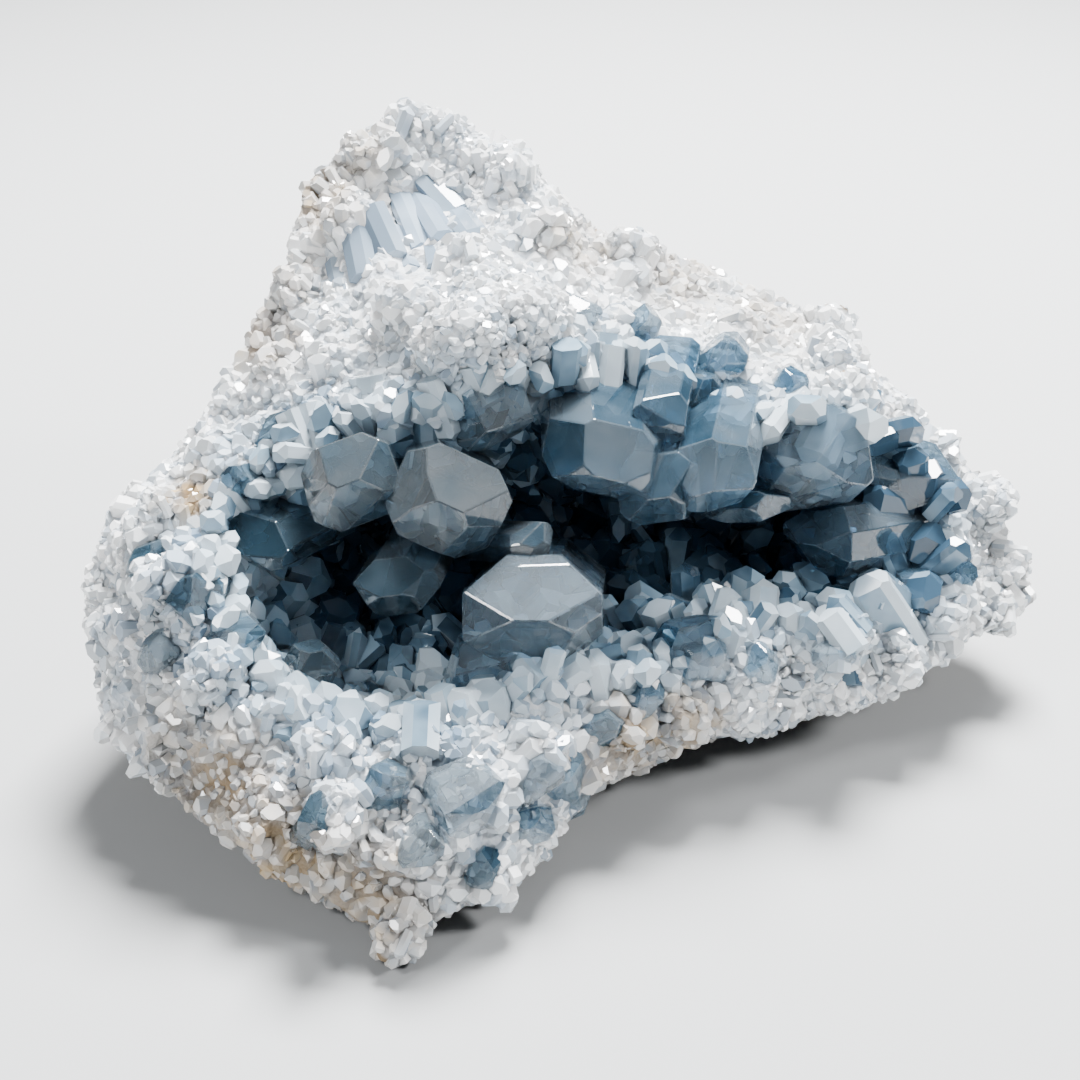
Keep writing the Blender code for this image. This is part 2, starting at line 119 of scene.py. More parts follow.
# Grey-blue blades that lie in the hollow place under the peak: (u, v) at both ends, width.
BLADES = (
    ((-17.6, 43.5), (-13.8, 34.4), 3.6), ((-20.6, 40.2), (-17.4, 33.2), 3.8),
    ((-15.4, 43.5), (-11.4, 36.0), 3.4), ((-14.5, 46.0), (-9.6, 40.5), 4.2),
    ((-13.4, 39.0), (-11.6, 32.0), 3.6), ((-22.4, 37.5), (-20.8, 30.5), 3.6),
    ((-18.8, 38.0), (-15.6, 31.5), 3.4), ((-10.6, 41.5), (-7.6, 35.5), 3.6),
    ((-24.6, 34.0), (-23.0, 28.0), 3.2),
)

# The place where the blades lie: (u, v, half width, half height).
BLADE_PLACE = (-16, 37.5, 6.5, 7.5)

# Clear crystals that show in the broken rim: (u, v, width).
RIM_CRYSTALS = (
    (-7.3, -26.5, 7), (0, -24.8, 5.5), (-5.6, -34, 5), (-15.8, -25.5, 5.5), (-22.5, -28, 4.5),
    (6.8, -20.3, 5), (-32.7, -11.3, 7), (-37.2, -6.5, 6), (-25.5, -15, 6), (3.9, 25.9, 6),
    (18, 16.5, 7), (12.4, 25.5, 5), (21.5, 21, 6), (29.3, 18, 5), (40, 10, 5),
    (-43, -2.3, 5), (-41, -12, 5), (18, -13.4, 6), (24.8, -14, 5), (11.3, -17.5, 5),
    (-34, 6, 5), (-30, 12, 5.5), (-1, -30, 5), (33, -13, 5), (-12, -31, 4.5),
)

# The white knob above the hollow: (u, v, radius), and how far it stands out.
KNOB = (-5, 23, 9.5)
KNOB_HEIGHT = 2.4

# How many grains, small crystals of the hollow and finest grains are tried.
GRAINS = 4300
DRUSE = 1000
SUGAR = 3800

# The wall is remeshed twice: finely to show, and coarsely for directions without the small bumps.
WALL_VOXEL = 0.75
SMOOTH_VOXEL = 2.6
SMOOTH_ROUNDS = 8

# Vertices of the wall under this height rest on the ground and stay where they are.
GROUND_HEIGHT = 0.4

# A grown crystal keeps both its ends off the ground by this share of its width.
GROUND_SHARE = 0.6

# How far the wall may turn away from the open face and still bear grains, as the cosine of the angle.
GRAIN_LIMIT = -0.22
SUGAR_LIMIT = -0.35

# Rays onto the face start this far in front of it.
IN_FRONT = 60

# The chamfer of the large crystals. Faces under EDGE_FACE square millimetres are chamfers, and their colour is
# painted pale, a painted highlight on the edges.
CHAMFER = 0.13
EDGE_FACE = 1.6
EDGE_HIGHLIGHT = 0.8

CELESTITE_IOR = 1.62

# Sizes of the materials' patterns in millimetres.
TONE_PATCH = 7.14
SOIL_SPECK = 2.38
CLOUD = 4.35
RIND_PATCH = 14.3
RIND_SPECK = 1.92
RIND_GRIT = 1.25
RIND_RELIEF = 0.6

# Settings that nodes of the materials share.
SCALE_AND_ADD = {"operation": "MULTIPLY_ADD"}
MIX_COLOURS = {"data_type": "RGBA"}
MULTIPLY_COLOURS = {"data_type": "RGBA", "blend_type": "MULTIPLY"}

SEED = 7


def clamp(value):
    """A number, kept from 0 to 1."""
    return max(0, min(1, value))


def linear(code):
    """The linear colour of an sRGB hex value."""
    parts = [int(code[k : k + 2], 16) / 255 for k in (1, 3, 5)]
    return (*[part / 12.92 if part <= 0.04045 else ((part + 0.055) / 1.055) ** 2.4 for part in parts], 1)


def add_node(tree, kind, settings=None, **inputs):
    """Adds a node, sets its properties, and sets or links its inputs (named, or numbered as in_0)."""
    node = tree.nodes.new(kind)
    for key, value in (settings or {}).items():
        setattr(node, key, value)
    for key, value in inputs.items():
        numbered = key.startswith("in_")
        socket = node.inputs[int(key[3:]) if numbered else key.replace("_", " ")]
        if isinstance(value, bpy.types.NodeSocket):
            tree.links.new(value, socket)
        else:
            socket.default_value = value
    return node


def set_ramp(node, stops):
    """Gives a colour ramp these (position, hex colour) stops."""
    ramp = node.color_ramp
    for place, code in stops[2:]:
        ramp.elements.new(place)
    for element, (place, code) in zip(sorted(ramp.elements, key=lambda e: e.position), sorted(stops)):
        element.position = place
        element.color = linear(code)


def new_material(name):
    """A material with an empty node tree, and its output."""
    material = bpy.data.materials.new(name)
    material.use_nodes = True
    material.node_tree.nodes.clear()
    return material, material.node_tree, material.node_tree.nodes.new("ShaderNodeOutputMaterial")


def sugary_celestite():
    """Massive white celestite, broken: grains whose faces are vitreous, so that they glint.

    Each face has its own painted shade, which stands in for the light that passes through real grains.
    """
    material, tree, output = new_material("sugary celestite")
    place = add_node(tree, "ShaderNodeTexCoord").outputs["Object"]
    tone, dirt, painted_facet_shade, blue = (
        add_node(tree, "ShaderNodeAttribute", {"attribute_name": name}).outputs["Fac"]
        for name in ("tone", "dirt", "painted_facet_shade", "blue")
    )
    patches, specks = (
        add_node(tree, "ShaderNodeTexNoise", Vector=place, Scale=1 / (size * MM), Detail=detail).outputs["Fac"]
        for size, detail in ((TONE_PATCH, 0.0), (SOIL_SPECK, 1.0))
    )
    # Painted shade: each face is made lighter or darker by its own random value, in place of light passing
    # through the grains.
    uneven = add_node(tree, "ShaderNodeMath", SCALE_AND_ADD, in_0=painted_facet_shade, in_1=0.4, in_2=tone)
    mixed = add_node(tree, "ShaderNodeMath", SCALE_AND_ADD, in_0=patches, in_1=0.4, in_2=uneven.outputs[0])
    ramp = add_node(tree, "ShaderNodeValToRGB", Fac=mixed.outputs[0])
    set_ramp(ramp, [(0.2, "#93A2B1"), (0.95, "#FFFFFF"), (0.42, "#C6D0D9"), (0.65, "#ECF0F2")])
    tinted = add_node(
        tree, "ShaderNodeMix", MULTIPLY_COLOURS, in_0=blue, in_6=ramp.outputs[0], in_7=linear("#B4CBDC")
    )
    soil = add_node(tree, "ShaderNodeMath", {"operation": "MULTIPLY"}, in_0=specks, in_1=1.4)
    soiled = add_node(
        tree, "ShaderNodeMath", {"operation": "MULTIPLY", "use_clamp": True}, in_0=soil.outputs[0],
        in_1=dirt,
    )
    soil_colour = add_node(tree, "ShaderNodeValToRGB", Fac=specks)
    set_ramp(soil_colour, [(0.3, "#755C3E"), (0.7, "#C6AC85")])
    colour = add_node(
        tree, "ShaderNodeMix", MIX_COLOURS, in_0=soiled.outputs[0], in_6=tinted.outputs[2],
        in_7=soil_colour.outputs[0],
    )
    shader = add_node(
        tree, "ShaderNodeBsdfPrincipled", Base_Color=colour.outputs[2], Roughness=0.06, IOR=CELESTITE_IOR
    )
    tree.links.new(shader.outputs[0], output.inputs["Surface"])
    return material


def geode_wall():
    """The wall's body: white massive celestite, under a rind outside that is tan with clay and dull.

    In the hollow its colour is a painted shade of dark blue, because it shows there only in the shaded gaps
    between the crystals.
    """
    material, tree, output = new_material("geode wall with rind")
    place = add_node(tree, "ShaderNodeTexCoord").outputs["Object"]
    rind, inside, dirt = (
        add_node(tree, "ShaderNodeAttribute", {"attribute_name": name}).outputs["Fac"]
        for name in ("rind", "inside", "dirt")
    )
    patches = add_node(
        tree, "ShaderNodeTexNoise", Vector=place, Scale=1 / (RIND_PATCH * MM), Detail=4.0, Roughness=0.65
    ).outputs["Fac"]
    specks = add_node(
        tree, "ShaderNodeTexNoise", Vector=place, Scale=1 / (RIND_SPECK * MM), Detail=2.0
    ).outputs["Fac"]
    white = add_node(tree, "ShaderNodeValToRGB", Fac=specks)
    set_ramp(white, [(0.25, "#9FAEBD"), (0.7, "#EDF0F2")])
    crust = add_node(tree, "ShaderNodeValToRGB", Fac=patches)
    set_ramp(crust, [(0.28, "#4E3F2E"), (0.78, "#CDBFA8"), (0.42, "#826B4D"), (0.58, "#A89070")])
    grit = add_node(
        tree, "ShaderNodeMix", MULTIPLY_COLOURS, in_0=0.5, in_6=crust.outputs[0], in_7=white.outputs[0]
    )
    edge = add_node(tree, "ShaderNodeMath", SCALE_AND_ADD, in_0=specks, in_1=0.5, in_2=-0.25)
    reach = add_node(tree, "ShaderNodeMath", {"operation": "ADD"}, in_0=rind, in_1=dirt)
    cover = add_node(
        tree, "ShaderNodeMath", {"operation": "ADD", "use_clamp": True}, in_0=reach.outputs[0],
        in_1=edge.outputs[0],
    )
    outer = add_node(
        tree, "ShaderNodeMix", MIX_COLOURS, in_0=cover.outputs[0], in_6=white.outputs[0], in_7=grit.outputs[2]
    )
    # Painted shade: where the wall is inside the hollow, its colour is a dark blue.
    colour = add_node(
        tree, "ShaderNodeMix", MIX_COLOURS, in_0=inside, in_6=outer.outputs[2], in_7=linear("#3E566B")
    )
    fine = add_node(
        tree, "ShaderNodeTexNoise", Vector=place, Scale=1 / (RIND_GRIT * MM), Detail=2.0, Roughness=0.7
    ).outputs["Fac"]
    bump = add_node(tree, "ShaderNodeBump", Height=fine, Strength=0.6, Distance=RIND_RELIEF * MM)
    shader = add_node(
        tree, "ShaderNodeBsdfPrincipled", Base_Color=colour.outputs[2], Roughness=0.62, IOR=1.55,
        Normal=bump.outputs[0],
    )
    tree.links.new(shader.outputs[0], output.inputs["Surface"])
    return material


def blue_celestite(name, pale, middle, deep, clear, density, roughness):
    """Celestite grown freely: flat vitreous faces, cloudy inside, in a sky blue with a painted shade that
    varies from face to face, for the light inside real crystals.

    clear is the share of light that it lets in, and density how much blue it takes on with thickness.
    """
    material, tree, output = new_material(name)
    place = add_node(tree, "ShaderNodeTexCoord").outputs["Object"]
    tone, painted_facet_shade, blue = (
        add_node(tree, "ShaderNodeAttribute", {"attribute_name": attribute}).outputs["Fac"]
        for attribute in ("tone", "painted_facet_shade", "blue")
    )
    cloud = add_node(tree, "ShaderNodeTexNoise", Vector=place, Scale=1 / (CLOUD * MM), Detail=2.0)
    # Painted shade: each face takes a lighter or darker blue by its own value, in place of the light inside
    # real crystals.
    sides = add_node(tree, "ShaderNodeMath", SCALE_AND_ADD, in_0=painted_facet_shade, in_1=0.6, in_2=tone)
    mixed = add_node(
        tree, "ShaderNodeMath", SCALE_AND_ADD, in_0=cloud.outputs["Fac"], in_1=0.5, in_2=sides.outputs[0]
    )
    ramp = add_node(tree, "ShaderNodeValToRGB", Fac=mixed.outputs[0])
    set_ramp(ramp, [(0.3, deep), (0.95, pale), (0.6, middle)])
    grey = add_node(
        tree, "ShaderNodeMix", MULTIPLY_COLOURS, in_0=1.0, in_6=ramp.outputs[0], in_7=linear("#EDE6E0")
    )
    tinted = add_node(
        tree, "ShaderNodeMix", MIX_COLOURS, in_0=blue, in_6=grey.outputs[2], in_7=ramp.outputs[0]
    )
    shader = add_node(
        tree, "ShaderNodeBsdfPrincipled", Base_Color=tinted.outputs[2], Roughness=roughness,
        IOR=CELESTITE_IOR, Transmission_Weight=clear,
    )
    tree.links.new(shader.outputs[0], output.inputs["Surface"])
    if density:
        absorb = add_node(tree, "ShaderNodeVolumeAbsorption", Color=linear("#8FB4D2"), Density=density)
        tree.links.new(absorb.outputs[0], output.inputs["Volume"])
    return material


def crystal_shape(width, thickness, length, point, chamfer=0.0, cuts=()):
    """One upright crystal on the origin: a bar whose top is cut by slanting faces, as a bmesh.

    Each point but the wedge takes the bar's four upright edges off too. Each of cuts is the direction of
    one more face, which takes a corner off the top.
    """
    shape = bmesh.new()
    bmesh.ops.create_cube(shape, size=1)
    bmesh.ops.scale(shape, vec=(width, thickness, length), verts=shape.verts)
    bmesh.ops.translate(shape, vec=(0, 0, length / 2), verts=shape.verts)
    top = Vector((0, 0, length))
    # The slopes of the front pair of faces and of the side pair, and what the corners lose of the width.
    steep, shallow, corner = {
        "chisel": (1.0, 0.45, 0.30),
        "pyramid": (0.8, 0.75, 0.22),
        "blunt": (0.35, 0.15, 0.18),
        "wedge": (0.9, 0.6, 0),
    }[point]
    slopes = [((0, side, 1 / steep), top) for side in (1, -1)]
    for side in (1, -1):
        slopes.append(((side, 0, 1 / shallow * 0.9), top + Vector((side * width * 0.12, 0, 0))))
    for side in (1, -1) if corner else ():
        for edge in (1, -1):
            reach = Vector((side * width, edge * thickness, 0)) * (0.5 - corner / 2)
            slopes.append(((side * thickness, edge * width, 0), reach))
    for cut in cuts:
        slopes.append((cut, top + Vector((cut.x * width, cut.y * thickness, -0.6 * width)) * 0.4))
    for normal, through in slopes:
        everything = shape.verts[:] + shape.edges[:] + shape.faces[:]
        cut = bmesh.ops.bisect_plane(
            shape, geom=everything, plane_co=through, plane_no=normal, clear_outer=True, dist=1e-4
        )
        edges = [edge for edge in cut["geom_cut"] if isinstance(edge, bmesh.types.BMEdge)]
        if edges:
            bmesh.ops.contextual_create(shape, geom=edges)
    if chamfer:
        bmesh.ops.bevel(
            shape, geom=shape.edges[:], offset=chamfer, affect="EDGES", segments=1, profile=0.5,
            material=-1, clamp_overlap=True,
        )
    bmesh.ops.recalc_face_normals(shape, faces=shape.faces)
    return shape


def standing(foot, axis, turn):
    """The matrix that stands an upright shape on foot along axis, turned about it by turn degrees."""
    axis = axis.normalized()
    across = axis.orthogonal() if abs(axis.x) > 0.95 else Vector((1, 0, 0))
    across = (across - axis * across.dot(axis)).normalized()
    basis = Matrix((across, axis.cross(across), axis)).transposed().to_4x4()
    return Matrix.Translation(foot) @ basis @ Matrix.Rotation(math.radians(turn), 4, "Z")


def depth_in_chambers(point):
    """Below 1 in the nearest chamber, 1 on its wall and above 1 outside, for a point of the face frame."""
    return min(
        math.sqrt(sum(((point[k] - centre[k]) / radii[k]) ** 2 for k in range(3)))
        for centre, radii in CHAMBERS
    )


def dirt_at(point):
    """How much tan or brown dirt a point of the face frame has: none at 0, and full from 1 on."""
    found = 0
    for u, v, radius, strength in DIRT:
        away = math.hypot(point[0] - u, point[1] - v) / radius
        found = max(found, strength * max(0, 1 - (away / 1.6) ** 2))
    return found


def mesh_piece(name, bm, material, values):
    """A piece from a bmesh. Each name in values is an attribute, per face for facet and else per vertex."""
    mesh = bpy.data.meshes.new(name)
    bm.to_mesh(mesh)
    bm.free()
    for key, numbers in values.items():
        attribute = mesh.attributes.new(key, "FLOAT", "FACE" if key == "painted_facet_shade" else "POINT")
        attribute.data.foreach_set("value", np.array(numbers, np.float32))
    mesh.materials.append(material)
    piece = bpy.data.objects.new(name, mesh)
    bpy.context.scene.collection.objects.link(piece)
    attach(piece, "root")
    return piece


def remeshed(bm, voxel):
    """A new bmesh of bm's shape, with an even skin of faces about voxel millimetres wide."""
    mesh = bpy.data.meshes.new("wall copy")
    bm.to_mesh(mesh)
    copy = bpy.data.objects.new("wall copy", mesh)
    bpy.context.scene.collection.objects.link(copy)
    remesh = copy.modifiers.new("grain", "REMESH")
    remesh.mode = "VOXEL"
    remesh.voxel_size = voxel * MM
    graph = bpy.context.evaluated_depsgraph_get()
    even = bmesh.new()
    even.from_mesh(bpy.data.meshes.new_from_object(copy.evaluated_get(graph)))
    bpy.data.objects.remove(copy)
    return even


def relief(place, back, hollow):
    """How far out, in millimetres, a point of the wall moves: pitted outside, and lumpy where it is broken.

    Each number that place is divided by is the size of a lump or pit in millimetres.
    """
    grit = noise.noise(place / 0.9)
    rough = noise.fractal(place / 5, 0.9, 2.1, 4)
    pit = max(0, noise.noise(place / 3.2 + Vector((40, 0, 0))) - 0.25)
    outside = 0.55 * rough + 0.28 * grit - 1.6 * pit
    lumps = noise.noise(place / 5.5 + Vector((0, 20, 0))) + 0.45 * noise.noise(place / 2.3)
    bulge = max(0, 1 - (math.hypot(place.x - KNOB[0], place.y - KNOB[1]) / KNOB[2]) ** 2)
    front = 1.3 * lumps + 0.4 * grit - 0.3 + KNOB_HEIGHT * bulge
    return back * outside + (1 - back) * (1 - hollow) * front


def wall_body():
    """The wall's body as a bmesh with a fine surface, its attributes, and the tree of a smooth copy."""
    bm = bmesh.new()
    bm.from_mesh(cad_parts["geode_shell"].data)
    bmesh.ops.remove_doubles(bm, verts=bm.verts, dist=1e-6)
    fine, coarse = (remeshed(bm, voxel) for voxel in (WALL_VOXEL, SMOOTH_VOXEL))
    bm.free()
    for _ in range(SMOOTH_ROUNDS):
        bmesh.ops.smooth_vert(
            coarse, verts=coarse.verts, factor=0.5, use_axis_x=True, use_axis_y=True, use_axis_z=True
        )
    coarse.normal_update()
    tree = BVHTree.FromBMesh(coarse)
    fine.normal_update()
    rind, inside, dirt, moves = [], [], [], []
    for vertex in fine.verts:
        place = WORLD_TO_FACE @ vertex.co
        facing = tree.find_nearest(vertex.co)[1].dot(OUT_OF_FACE)
        hollow = clamp((1.06 - depth_in_chambers(place)) / 0.05)
        back = clamp((0.12 - facing) / 0.3) * (1 - hollow)
        on_ground = vertex.co.z < GROUND_HEIGHT * MM
        moves.append(vertex.normal * (0 if on_ground else relief(place, back, hollow) * MM))
        rind.append(back)
        inside.append(hollow)
        dirt.append(dirt_at(place) * (1 - hollow))
    for vertex, move in zip(fine.verts, moves):
        vertex.co += move
        vertex.co.z = max(vertex.co.z, 0)
    return fine, {"rind": rind, "inside": inside, "dirt": dirt}, tree


def surface_points(bm, weights, count, dice):
    """Random (place, normal) pairs over a bmesh's faces, as likely as each face's weight and area."""
    faces = list(bm.faces)
    chances = np.array([face.calc_area() * weights(face) for face in faces])
    picks = dice.choice(len(faces), size=count, p=chances / chances.sum())
    shares = dice.random((count, 2))
    for pick, (a, b) in zip(picks, shares):
        corners = [vertex.co for vertex in faces[pick].verts]
        place = corners[0].lerp(corners[1], a).lerp(corners[-1].lerp(corners[-2], a), b)
        yield place, faces[pick].normal.copy()


class Grower:
    """Copies crystal shapes into one mesh, each with its own tone, dirt and blue, and a painted shade per face
    for the light inside real grains.
    """

    def __init__(self):
        self.bm = bmesh.new()
        self.values = {"tone": [], "dirt": [], "blue": [], "painted_facet_shade": []}
        self.shapes = {}
        self.dice = np.random.default_rng(SEED + 9)

    def template(self, key):
        """The mesh of a unit crystal: (point, thickness, length), one wide."""
        if key not in self.shapes:
            point, thickness, length = key
            shape = crystal_shape(1, thickness, length, point)
            mesh = bpy.data.meshes.new("crystal")
            shape.to_mesh(mesh)
            shape.free()
            places = np.empty(len(mesh.vertices) * 3)
            mesh.vertices.foreach_get("co", places)
            self.shapes[key] = (mesh, places.reshape(-1, 3))
        return self.shapes[key]

    def grow(self, key, matrix, tone, dirt, blue):
        """Adds one copy of a unit crystal, placed by matrix."""
        mesh, places = self.template(key)
        grid = np.array(matrix)
        mesh.vertices.foreach_set("co", (places @ grid[:3, :3].T + grid[:3, 3]).ravel())
        mesh.update()
        self.bm.from_mesh(mesh)
        for name, value in (("tone", tone), ("dirt", dirt), ("blue", blue)):
            self.values[name] += [value] * len(places)
        # A random painted shade for each face.
        self.values["painted_facet_shade"] += list(self.dice.random(len(mesh.polygons)))


def spread(points, spacing_of, limit):
    """Keeps points that stand apart by the spacing found for each, up to limit."""
    cell = 2.5 * MM
    grid, kept = {}, []
    for place, normal in points:
        spacing = spacing_of(place)
        home = tuple(int(c // cell) for c in place)
        steps = math.ceil(spacing / cell)
        reach = range(-steps, steps + 1)
        near = (
            grid.get((home[0] + i, home[1] + j, home[2] + k), ())
            for i in reach for j in reach for k in reach
        )
        if any((place - other).length < spacing for group in near for other in group):
            continue
        grid.setdefault(home, []).append(place)
        kept.append((place, normal, spacing))
        if len(kept) == limit:
            break
    return kept


def on_knob(point):
    """Whether a point of the face frame is on the white knob above the hollow."""
    return math.hypot(point[0] - KNOB[0], point[1] - KNOB[1]) < KNOB[2]


def in_blades(point):
    """Whether a point of the face frame is in the place under the peak where the blades lie."""
    u, v, half_width, half_height = BLADE_PLACE
    return math.hypot((point[0] - u) / half_width, (point[1] - v) / half_height) < 1


def onto_face(surface, u, v):
    """The place in the world where a ray straight in from the front at (u, v) first meets a surface's tree."""
    return surface.ray_cast(FACE_TO_WORLD @ Vector((u, v, IN_FRONT)), -OUT_OF_FACE)[0]


def touches_ground(foot, axis, length, width):
    """Whether a crystal would come too near the ground, or go under it."""
    return min(foot.z, (foot + axis * length).z) < GROUND_SHARE * width


def grain_spacing(place):
    """How far apart the rim's grains stand: closest on the knob, and widest beside the hollow."""
    point = WORLD_TO_FACE @ place
    patch = noise.noise(point / 9) + 0.6 * noise.noise(point / 4 + Vector((9, 0, 0)))
    beside = max(0, 1.35 - depth_in_chambers(point)) * 2.2
    return (0.95 if on_knob(point) else 1.3 + 0.6 * patch + 0.4 * beside) * MM


def direction(dice):
    """A direction that is as likely as any other."""
    return Vector(dice.normal(size=3)).normalized()


def rim_grains(body, smooth):
    """The sugary grains of the broken rim, sunk in so that their points show, and the blades."""
    dice = np.random.default_rng(SEED)
    grower = Grower()

    def weight(face):
        centre = face.calc_center_median()
        point = WORLD_TO_FACE @ centre
        facing = smooth.find_nearest(centre)[1].dot(OUT_OF_FACE)
        if depth_in_chambers(point) < 0.98 or facing < GRAIN_LIMIT:
            return 0.0
        return min(1, 0.25 + facing - GRAIN_LIMIT) * (0.1 if in_blades(point) else 1)

    points = surface_points(body, weight, GRAINS * 6, dice)
    shapes = [(point, *sizes) for point in ("pyramid", "chisel") for sizes in ((0.9, 1.4), (0.7, 1.7))]
    for place, _, spacing in spread(points, grain_spacing, GRAINS):
        point = WORLD_TO_FACE @ place
        depth = depth_in_chambers(point)
        beside = clamp((1.5 - depth) / 0.4)
        width = spacing * dice.uniform(1.1, 1.9)
        axis = (smooth.find_nearest(place)[1] + direction(dice) * 0.6).normalized()
        key = shapes[dice.integers(len(shapes))]
        length = width * key[2]
        foot = place - axis * length * dice.uniform(0.72 - 0.15 * beside, 0.93 - 0.15 * beside)
        if touches_ground(foot, axis, length, width):
            continue
        # Painted shade: grains towards the lower left of the face are made darker, as if less light fell
        # there.
        shade = 0.18 * clamp((-point[1] - 5) / 15) * clamp((8 - point[0]) / 15)
        tone = dice.uniform(0.0, 0.55) * (1 - 0.3 * beside) - shade
        matrix = standing(foot, axis, dice.uniform(0, 360)) @ Matrix.Scale(width, 4)
        blue = clamp((1.55 - depth) / 0.5) * dice.uniform(0.4, 1)
        grower.grow(key, matrix, tone, dirt_at(point) * dice.uniform(0.6, 1), blue)
    surface = BVHTree.FromBMesh(body)
    for start, end, width in BLADES:
        foot = onto_face(surface, *start)
        axis = onto_face(surface, *end) - foot
        turned = standing(foot - OUT_OF_FACE * 0.32 * width * MM, axis, dice.uniform(-25, 25))
        matrix = turned @ Matrix.Scale(width * MM, 4)
        key = ("chisel", 0.6, round(axis.length / MM / width, 2))
        grower.grow(key, matrix, dice.uniform(-0.35, -0.1), 0, dice.uniform(0.3, 0.6))
    return grower


def sugar_grains(body, smooth):
    """The finest grains, that fill in between the others and frost the knob above the hollow."""
    dice = np.random.default_rng(SEED + 5)
    grower = Grower()

    def weight(face):
        centre = face.calc_center_median()
        point = WORLD_TO_FACE @ centre
        facing = smooth.find_nearest(centre)[1].dot(OUT_OF_FACE)
        if depth_in_chambers(point) < 1.0 or facing < SUGAR_LIMIT or in_blades(point):
            return 0.0
        patch = max(0.05, 0.6 + noise.noise(point / 7 + Vector((3, 0, 0))))
        return (2.5 if on_knob(point) else 1.0) * patch

    shapes = [("wedge", 0.9, 1.4), ("wedge", 0.75, 1.2)]
    for place, _ in surface_points(body, weight, SUGAR, dice):
        point = WORLD_TO_FACE @ place
        width = dice.uniform(0.5, 1.25) * MM
        axis = (smooth.find_nearest(place)[1] + direction(dice) * 0.6).normalized()
        key = shapes[dice.integers(len(shapes))]
        length = width * key[2]
        foot = place - axis * length * dice.uniform(0.35, 0.85)
        if touches_ground(foot, axis, length, width):
            continue
        blue = clamp((1.4 - depth_in_chambers(point)) / 0.5) * dice.uniform(0.3, 1)
        matrix = standing(foot, axis, dice.uniform(0, 360)) @ Matrix.Scale(width, 4)
        grower.grow(key, matrix, dice.uniform(0.1, 0.6), dirt_at(point), blue)
    return grower


def blue_druse(body):
    """The small crystals that line the hollow, pointing into it."""
    dice = np.random.default_rng(SEED + 1)
    grower = Grower()

    def weight(face):
        return 1.0 if depth_in_chambers(WORLD_TO_FACE @ face.calc_center_median()) < 1.05 else 0.0

    def spacing_of(place):
        return (1.9 + 1.2 * abs(noise.noise(place * 90))) * MM

    points = surface_points(body, weight, DRUSE * 8, dice)
    shapes = [(point, *sizes) for point in ("pyramid", "chisel") for sizes in ((0.85, 1.7), (0.65, 2.3))]
    for place, normal, spacing in spread(points, spacing_of, DRUSE):
        point = WORLD_TO_FACE @ place
        mouth = clamp((point[2] + 9) / 8)
        width = spacing * dice.uniform(1.3, 2.4 - 0.5 * mouth)
        axis = (normal + direction(dice) * 0.5).normalized()
        key = shapes[dice.integers(len(shapes))]
        length = width * key[2]
        rise = dice.uniform(3.5 - 2 * mouth, 8.5 - 5 * mouth) * MM
        foot = place + axis * (rise - length)
        if touches_ground(foot, axis, length, width):
            continue
        matrix = standing(foot, axis, dice.uniform(0, 360)) @ Matrix.Scale(width, 4)
        # Painted shade: the druse's colour darkens the deeper it sits in the hollow.
        deep = clamp((-4 - point[2]) / 12)
        grower.grow(key, matrix, dice.uniform(0.1, 0.6) - 0.75 * deep, 0, 1)
    return grower


def rim_crystals(body):
    """The clear crystals of the rim, rooted in the wall's surface, as rows like those of LARGE_CRYSTALS."""
    dice = np.random.default_rng(SEED + 3)
    surface = BVHTree.FromBMesh(body)
    points = ("chisel", "pyramid", "blunt")
    for u, v, width in RIM_CRYSTALS:
        top = WORLD_TO_FACE @ onto_face(surface, u, v)
        lean = Vector((dice.uniform(-0.5, 0.5), dice.uniform(-0.5, 0.5), 1)).normalized()
        point = points[dice.integers(len(points))]
        yield top - lean * 4, top + lean * 0.45 * width, width, width * 0.75, dice.uniform(0, 90), point


def large_crystals(body):
    """The large crystals of the hollow and the rim, with fine chamfers that catch the light, and whose colour
    is painted pale as a highlight.
    """
    dice = np.random.default_rng(SEED + 2)
    bm = bmesh.new()
    values = {"tone": [], "blue": [], "painted_facet_shade": []}
    for foot, tip, width, thickness, turn, point in (*LARGE_CRYSTALS, *rim_crystals(body)):
        foot, tip = Vector(foot), Vector(tip)
        turns = dice.uniform(0, math.tau) + np.array((0, 2.4))
        cuts = [
            Vector((math.cos(angle), math.sin(angle), dice.uniform(0.2, 0.9))).normalized()
            for angle in turns
        ]
        shape = crystal_shape(width, thickness, (tip - foot).length, point, CHAMFER, cuts)
        matrix = FACE_TO_WORLD @ standing(foot, tip - foot, turn)
        bmesh.ops.transform(shape, matrix=matrix, verts=shape.verts)
        mesh = bpy.data.meshes.new("crystal")
        shape.to_mesh(mesh)
        shape.free()
        bm.from_mesh(mesh)
        values["tone"] += [dice.uniform(-0.1, 0.3)] * len(mesh.vertices)
        values["blue"] += [clamp((foot.x + 14) / 14)] * len(mesh.vertices)
        # Painted highlight: the small chamfer faces get a fixed pale shade, and the other faces a random
        # painted shade.
        values["painted_facet_shade"] += [
            EDGE_HIGHLIGHT if face.area < EDGE_FACE * MM**2 else dice.random() for face in mesh.polygons
        ]
        bpy.data.meshes.remove(mesh)
    return bm, values


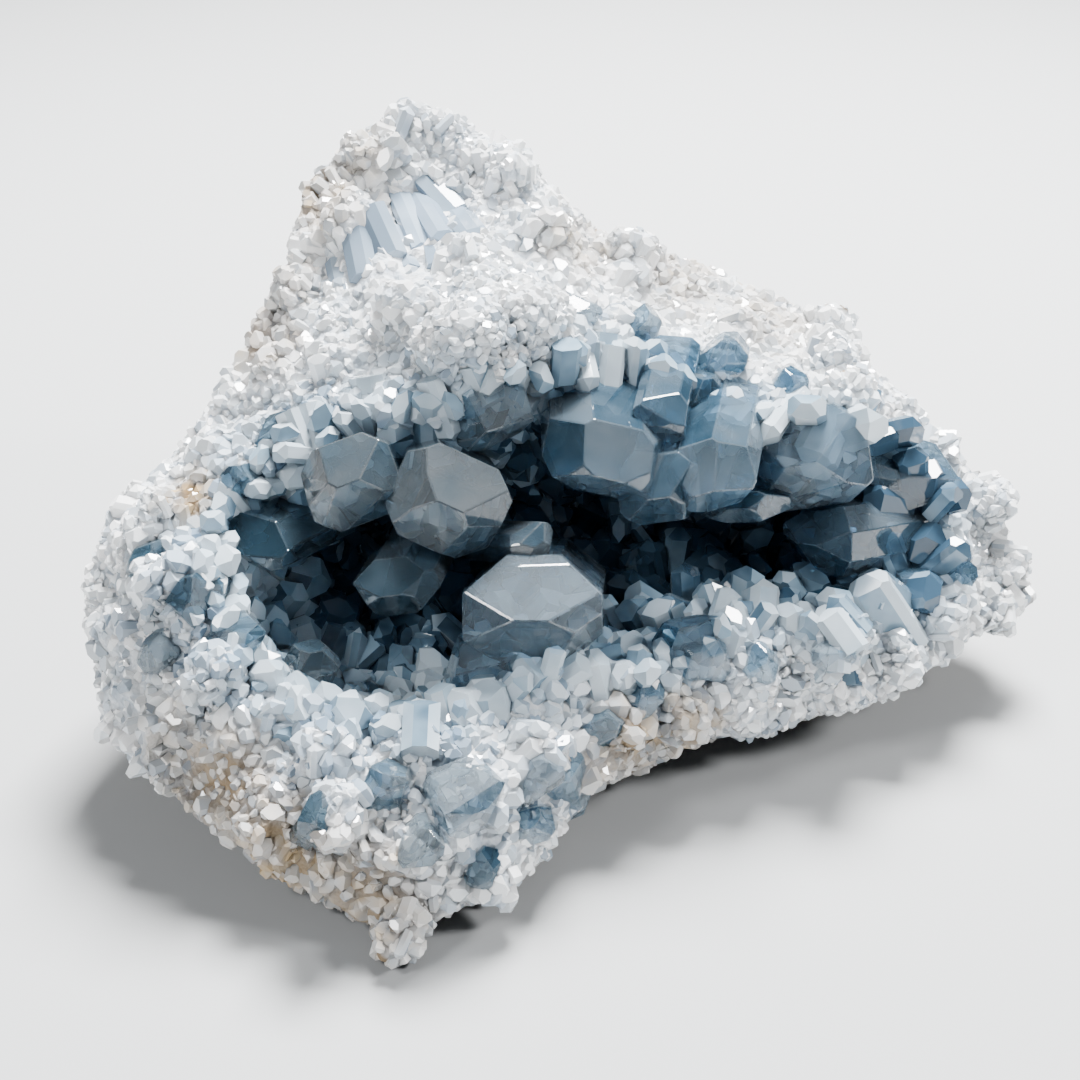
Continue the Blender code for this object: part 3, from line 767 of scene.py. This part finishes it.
def set_stage():
    """The pale floor, the soft light and the camera."""
    bm = bmesh.new()
    bmesh.ops.create_grid(bm, x_segments=1, y_segments=1, size=FLOOR_HALF_SIZE)
    mesh = bpy.data.meshes.new("floor")
    bm.to_mesh(mesh)
    bm.free()
    floor = bpy.data.objects.new("floor", mesh)
    bpy.context.scene.collection.objects.link(floor)
    material, tree, output = new_material("matt pale paper")
    shader = add_node(tree, "ShaderNodeBsdfDiffuse", Color=linear("#BDBFC0"))
    tree.links.new(shader.outputs[0], output.inputs["Surface"])
    mesh.materials.append(material)
    world = bpy.data.worlds.new("studio")
    world.use_nodes = True
    background = world.node_tree.nodes["Background"]
    background.inputs["Color"].default_value = linear("#DDE3EA")
    background.inputs["Strength"].default_value = WORLD_STRENGTH
    world.cycles.sampling_method = "NONE"
    bpy.context.scene.world = world
    # Few bounces are enough here, and they keep a final render short.
    cycles = bpy.context.scene.cycles
    cycles.use_light_tree = False
    cycles.light_sampling_threshold = 0.05
    cycles.debug_use_spatial_splits = True
    cycles.max_bounces = 4
    cycles.diffuse_bounces = 1
    cycles.glossy_bounces = 1
    cycles.transmission_bounces = 4
    for name, place, size, power in LAMPS:
        light = bpy.data.lights.new(name, "AREA")
        light.size = size
        light.energy = power
        lamp = bpy.data.objects.new(name, light)
        lamp.location = place
        lamp.rotation_euler = (LAMP_TARGET - Vector(place)).to_track_quat("-Z", "Y").to_euler()
        bpy.context.scene.collection.objects.link(lamp)
    camera = bpy.data.objects.new("camera", bpy.data.cameras.new("camera"))
    camera.data.sensor_width = CAMERA_SENSOR
    camera.data.lens = CAMERA_LENS
    camera.data.clip_start = 0.005
    camera.location = (FACE_ZERO + OUT_OF_FACE * CAMERA_DISTANCE) * MM
    camera.rotation_euler = (-OUT_OF_FACE).to_track_quat("-Z", "Y").to_euler()
    bpy.context.scene.collection.objects.link(camera)
    bpy.context.scene.camera = camera


set_stage()
sugar = sugary_celestite()
clear_blue = blue_celestite("clear celestite", "#D3E7F6", "#98BEDA", "#53819F", 0.88, 12.0, 0.025)
druse_blue = blue_celestite("druse celestite", "#CDDCE6", "#8EAABE", "#3C566B", 0.15, 0.0, 0.05)

body, body_values, smooth_wall = wall_body()
grains = rim_grains(body, smooth_wall)
fine_grains = sugar_grains(body, smooth_wall)
druse = blue_druse(body)
crystals, crystal_values = large_crystals(body)
wall = mesh_piece("rock_wall", body, geode_wall(), body_values)
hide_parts("geode_shell")
mesh_piece("rim_grains", grains.bm, sugar, grains.values)
mesh_piece("rim_sugar", fine_grains.bm, sugar, fine_grains.values)
lining = mesh_piece("hollow_druse", druse.bm, druse_blue, druse.values)
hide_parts("crystal_crust")
mesh_piece("large_crystals", crystals, clear_blue, crystal_values)
